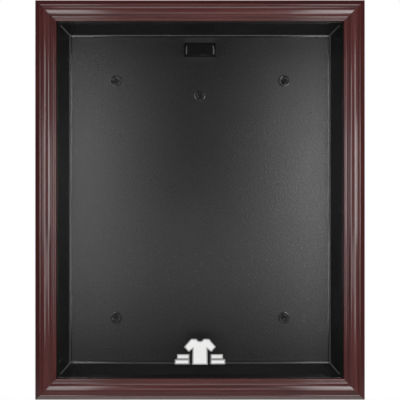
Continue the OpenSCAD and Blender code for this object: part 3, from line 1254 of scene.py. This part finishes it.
@dataclass
class Hardware:
    """Hinges, turn buttons, V nails, glazing points and every screw."""

    finishes: Finishes
    half_gap: float = 15.75
    leaf_shank_r: float = 1.6
    leaf_head_r: float = 3.2
    leaf_head_t: float = 1.6
    button_shank_r: float = 2.0
    button_head_r: float = 4.0
    hook_shank_r: float = 1.5
    hook_head_r: float = 3.5
    pan_t: float = 2.2

    def hinges(self) -> None:
        """Makes the leaves and the pins of the four hinges."""
        look = [self.finishes.zinc]
        for i in range(1, 5):
            for kind, body in (("tray_hinge_leaf", "tray"), ("frame_hinge_leaf", "door")):
                leaf = copy_of(f"{kind}_{i}", 0.15).finish(f"{kind}_plate_{i}", look)
                settle(leaf, body, "hinge_steel", f"{kind}_{i}")
            pin = copy_of(f"hinge_pin_{i}", 0.2).finish(f"hinge_pin_rod_{i}", look)
            settle(pin, "tray", "hinge_steel", f"hinge_pin_{i}")

    def small_steel(self) -> None:
        """Makes the V nails, the glazing points, the spacers and the turn buttons."""
        for node, name, body, ease in (
            ("corner_v_nails", "mitre_nails", "door", 0.1),
            ("glazing_points", "sheet_points", "door", 0.15),
            ("turn_button_spacers", "button_spacers", "door", 0.3),
        ):
            piece = copy_of(node, ease).finish(name, [self.finishes.zinc])
            settle(piece, body, "fastener_steel", node)
        for level in ("upper", "lower"):
            button = copy_of(f"turn_button_{level}", 0.5).finish(f"button_{level}", [self.finishes.zinc])
            settle(button, f"{level}_button", "hinge_steel", f"turn_button_{level}")

    def screw_set(
        self, name: str, node: str, body: str, screw: Screw, places: list[Matrix], look: bpy.types.Material
    ) -> None:
        """Makes one set of alike screws.

        Args:
            name: The piece's name.
            node: The CAD node that it replaces.
            body: The body that it rides on.
            screw: The screw.
            places: From a screw at the origin to each place.
            look: Its material.
        """
        form = Form()
        one = screw.form()
        for place in places:
            form.add(one, place)
        settle(form.finish(name, [look], angle=25), body, "fastener_steel", node)

    def screws(self) -> None:
        """Makes the four sets of screws."""
        to_right = Matrix.Rotation(math.radians(-90), 4, "Y")
        to_front = Matrix.Rotation(math.radians(-90), 4, "X")
        leaves = [node_box(f"tray_hinge_leaf_{i}") for i in range(1, 5)]
        levels = [
            (bottom.z + top.z) / 2 + side * self.half_gap for bottom, top in leaves for side in SIDES
        ]
        low, high = node_box("tray_hinge_screws")
        y = (low.y + high.y) / 2
        places = [Matrix.Translation((low.x, y, z)) @ to_right for z in levels]
        self.screw_set(
            "leaf_screws_tray", "tray_hinge_screws", "tray",
            Screw(high.x - low.x, self.leaf_shank_r, self.leaf_head_r, self.leaf_head_t),
            places, self.finishes.black_steel,
        )
        low, high = node_box("frame_hinge_screws")
        x = (low.x + high.x) / 2
        places = [Matrix.Translation((x, high.y, z)) @ to_front for z in levels]
        self.screw_set(
            "leaf_screws_frame", "frame_hinge_screws", "door",
            Screw(high.y - low.y, self.leaf_shank_r, self.leaf_head_r, self.leaf_head_t),
            places, self.finishes.zinc,
        )
        low, high = node_box("turn_button_screws")
        x, r = (low.x + high.x) / 2, self.button_head_r
        places = [Matrix.Translation((x, high.y, z)) @ to_front for z in (low.z + r, high.z - r)]
        self.screw_set(
            "button_screws", "turn_button_screws", "door",
            Screw(high.y - low.y, self.button_shank_r, self.button_head_r, self.pan_t, pan=True),
            places, self.finishes.zinc,
        )
        low, high = node_box("rod_hook_screws")
        z, r = (low.z + high.z) / 2, self.hook_head_r
        places = [Matrix.Translation((x, high.y, z)) @ to_front for x in (low.x + r, high.x - r)]
        self.screw_set(
            "hook_screws", "rod_hook_screws", "tray",
            Screw(high.y - low.y, self.hook_shank_r, self.hook_head_r, self.pan_t, pan=True),
            places, self.finishes.zinc,
        )

    def build(self) -> None:
        """Makes all the hardware."""
        self.hinges()
        self.small_steel()
        self.screws()


# ---------------------------------------------------------------- studio


@dataclass(frozen=True)
class SoftBox:
    """A flat lamp that faces a point."""

    name: str
    place: tuple[float, float, float]
    target: tuple[float, float, float]
    size: Point
    radiance: float

    def hang(self) -> None:
        """Puts the lamp up."""
        data = bpy.data.lights.new(self.name, "AREA")
        data.shape = "RECTANGLE"
        data.size, data.size_y = self.size
        data.energy = self.radiance * math.pi * self.size[0] * self.size[1]
        lamp = bpy.data.objects.new(self.name, data)
        bpy.context.scene.collection.objects.link(lamp)
        lamp.location = self.place
        aim = Vector(self.target) - Vector(self.place)
        lamp.rotation_euler = aim.to_track_quat("-Z", "Y").to_euler()


@dataclass
class Studio:
    """Camera, lamps, sky and floor, in metres, and the painted-shade dots behind the screw holes, in
    millimetres.
    """

    distance: float = 1.285
    eye_level: float = 0.040
    lens: float = 40.78
    drop: float = -0.0375
    ambient: float = 0.02
    floor_drop: float = 1.2
    floor_half: float = 3.5
    floor_behind: float = 1.4
    floor_t: float = 0.02
    dot_r: float = 3.2
    dot_t: float = 0.6
    dot_y: float = 0.7

    def camera(self) -> None:
        """Stands the camera in front of the case, a little above its middle."""
        data = bpy.data.cameras.new("camera")
        data.lens = self.lens
        data.sensor_width = 36.0
        data.shift_y = self.drop
        camera = bpy.data.objects.new("camera", data)
        camera.location = (0, -self.distance, self.eye_level)
        camera.rotation_euler = (math.radians(90), 0, 0)
        bpy.context.scene.collection.objects.link(camera)
        bpy.context.scene.camera = camera

    def lamps(self) -> None:
        """Hangs softboxes and strips at both sides, and a lamp low, overhead, below and behind."""
        for box in (
            SoftBox("softbox_right", (1.15, -1.25, 0.06), (0, -0.05, 0), (0.9, 0.65), 4.5),
            SoftBox("softbox_left", (-1.15, -1.25, 0.06), (0, -0.05, 0), (0.9, 0.65), 1.5),
            SoftBox("softbox_far_left", (-1.5, -0.8, 0.06), (0, -0.1, 0), (0.6, 0.9), 0.6),
            SoftBox("strip_right_high", (0.76, -1.5, 0.4), (0.3, -0.05, 0.24), (0.34, 0.8), 5.6),
            SoftBox("strip_right_low", (0.76, -1.5, -0.4), (0.3, -0.05, -0.24), (0.34, 0.8), 4.9),
            SoftBox("strip_left_high", (-0.76, -1.5, 0.4), (-0.3, -0.05, 0.24), (0.34, 0.8), 5.2),
            SoftBox("strip_left_low", (-0.76, -1.5, -0.4), (-0.3, -0.05, -0.24), (0.34, 0.8), 4.0),
            SoftBox("low_front", (0, -1.7, -0.45), (0, 0, -0.2), (0.9, 0.3), 2.3),
            SoftBox("overhead", (0, -0.9, 1.6), (0, 0, 0), (1.6, 0.6), 2.0),
            SoftBox("under", (0, -1.0, -0.75), (0, -1.0, -1.7), (5.0, 4.5), 0.15),
            SoftBox("rear", (0, 2.2, 0.8), (0, 0, 0), (3.0, 1.4), 4.0),
        ):
            box.hang()

    def sky(self) -> None:
        """White to look at, and a dim even fill as light."""
        world = bpy.data.worlds.new("sky")
        bpy.context.scene.world = world
        world.use_nodes = True
        tree = world.node_tree
        tree.nodes.clear()
        seen = tree.nodes.new("ShaderNodeLightPath").outputs["Is Camera Ray"]
        white, fill = (tree.nodes.new("ShaderNodeBackground") for _ in range(2))
        white.inputs["Strength"].default_value = 1.0
        white.inputs["Color"].default_value = (1, 1, 1, 1)
        fill.inputs["Strength"].default_value = self.ambient
        fill.inputs["Color"].default_value = (1, 1, 1, 1)
        blend = tree.nodes.new("ShaderNodeMixShader")
        tree.links.new(seen, blend.inputs[0])
        tree.links.new(fill.outputs[0], blend.inputs[1])
        tree.links.new(white.outputs[0], blend.inputs[2])
        output = tree.nodes.new("ShaderNodeOutputWorld")
        tree.links.new(blend.outputs[0], output.inputs["Surface"])

    def floor(self) -> None:
        """Lays a pale floor under the case."""
        bench = Bench("pale_floor")
        cloud = bench.noise(3, detail=3)
        look = bench.dress(
            Base_Color=bench.mix(cloud, (0.80, 0.80, 0.79), (0.86, 0.86, 0.85)), Roughness=0.7,
        )
        top = (cad_box[0][2] - self.floor_drop) / MM
        half = self.floor_half / MM
        low = (-half, -half, top - self.floor_t / MM)
        form = Form().block(low, (half, self.floor_behind / MM, top)).ease(4)
        form.finish("floor", [look])

    def painted_shade_dots(self) -> None:
        """Puts a dark disc of painted shade behind each screw hole, standing for the shaded hole, so that no
        sky shows through it.
        """
        bench = Bench("painted_hole_shade")
        shade = bench.mix(bench.noise(90), (0.01, 0.01, 0.01), (0.02, 0.02, 0.02))
        look = bench.dress(Base_Color=shade, Roughness=0.9)
        for number, (x, z) in enumerate(screw_places()):
            dot = Form()
            disc = Matrix.Translation((x, self.dot_y, z)) @ Matrix.Rotation(math.radians(90), 4, "X")
            bmesh.ops.create_cone(
                dot.bm, cap_ends=True, segments=24, radius1=self.dot_r, radius2=self.dot_r,
                depth=self.dot_t, matrix=disc,
            )
            dot.finish(f"painted_shade_dot_{number}", [look])

    def build(self) -> None:
        """Sets the studio up."""
        self.camera()
        self.lamps()
        self.sky()
        self.floor()
        self.painted_shade_dots()
        bpy.context.scene.view_settings.view_transform = "Standard"


def main() -> None:
    """Builds the case, piece by piece, and the studio round it."""
    logging.basicConfig(level=logging.INFO, format="%(message)s")
    finishes = Finishes()
    for kind in (Moulding, Glazing, Tray, RodHook, Hardware):
        log.info("building %s", kind.__name__)
        kind(finishes).build()
    Studio().build()


if __name__ == "__main__":
    main()
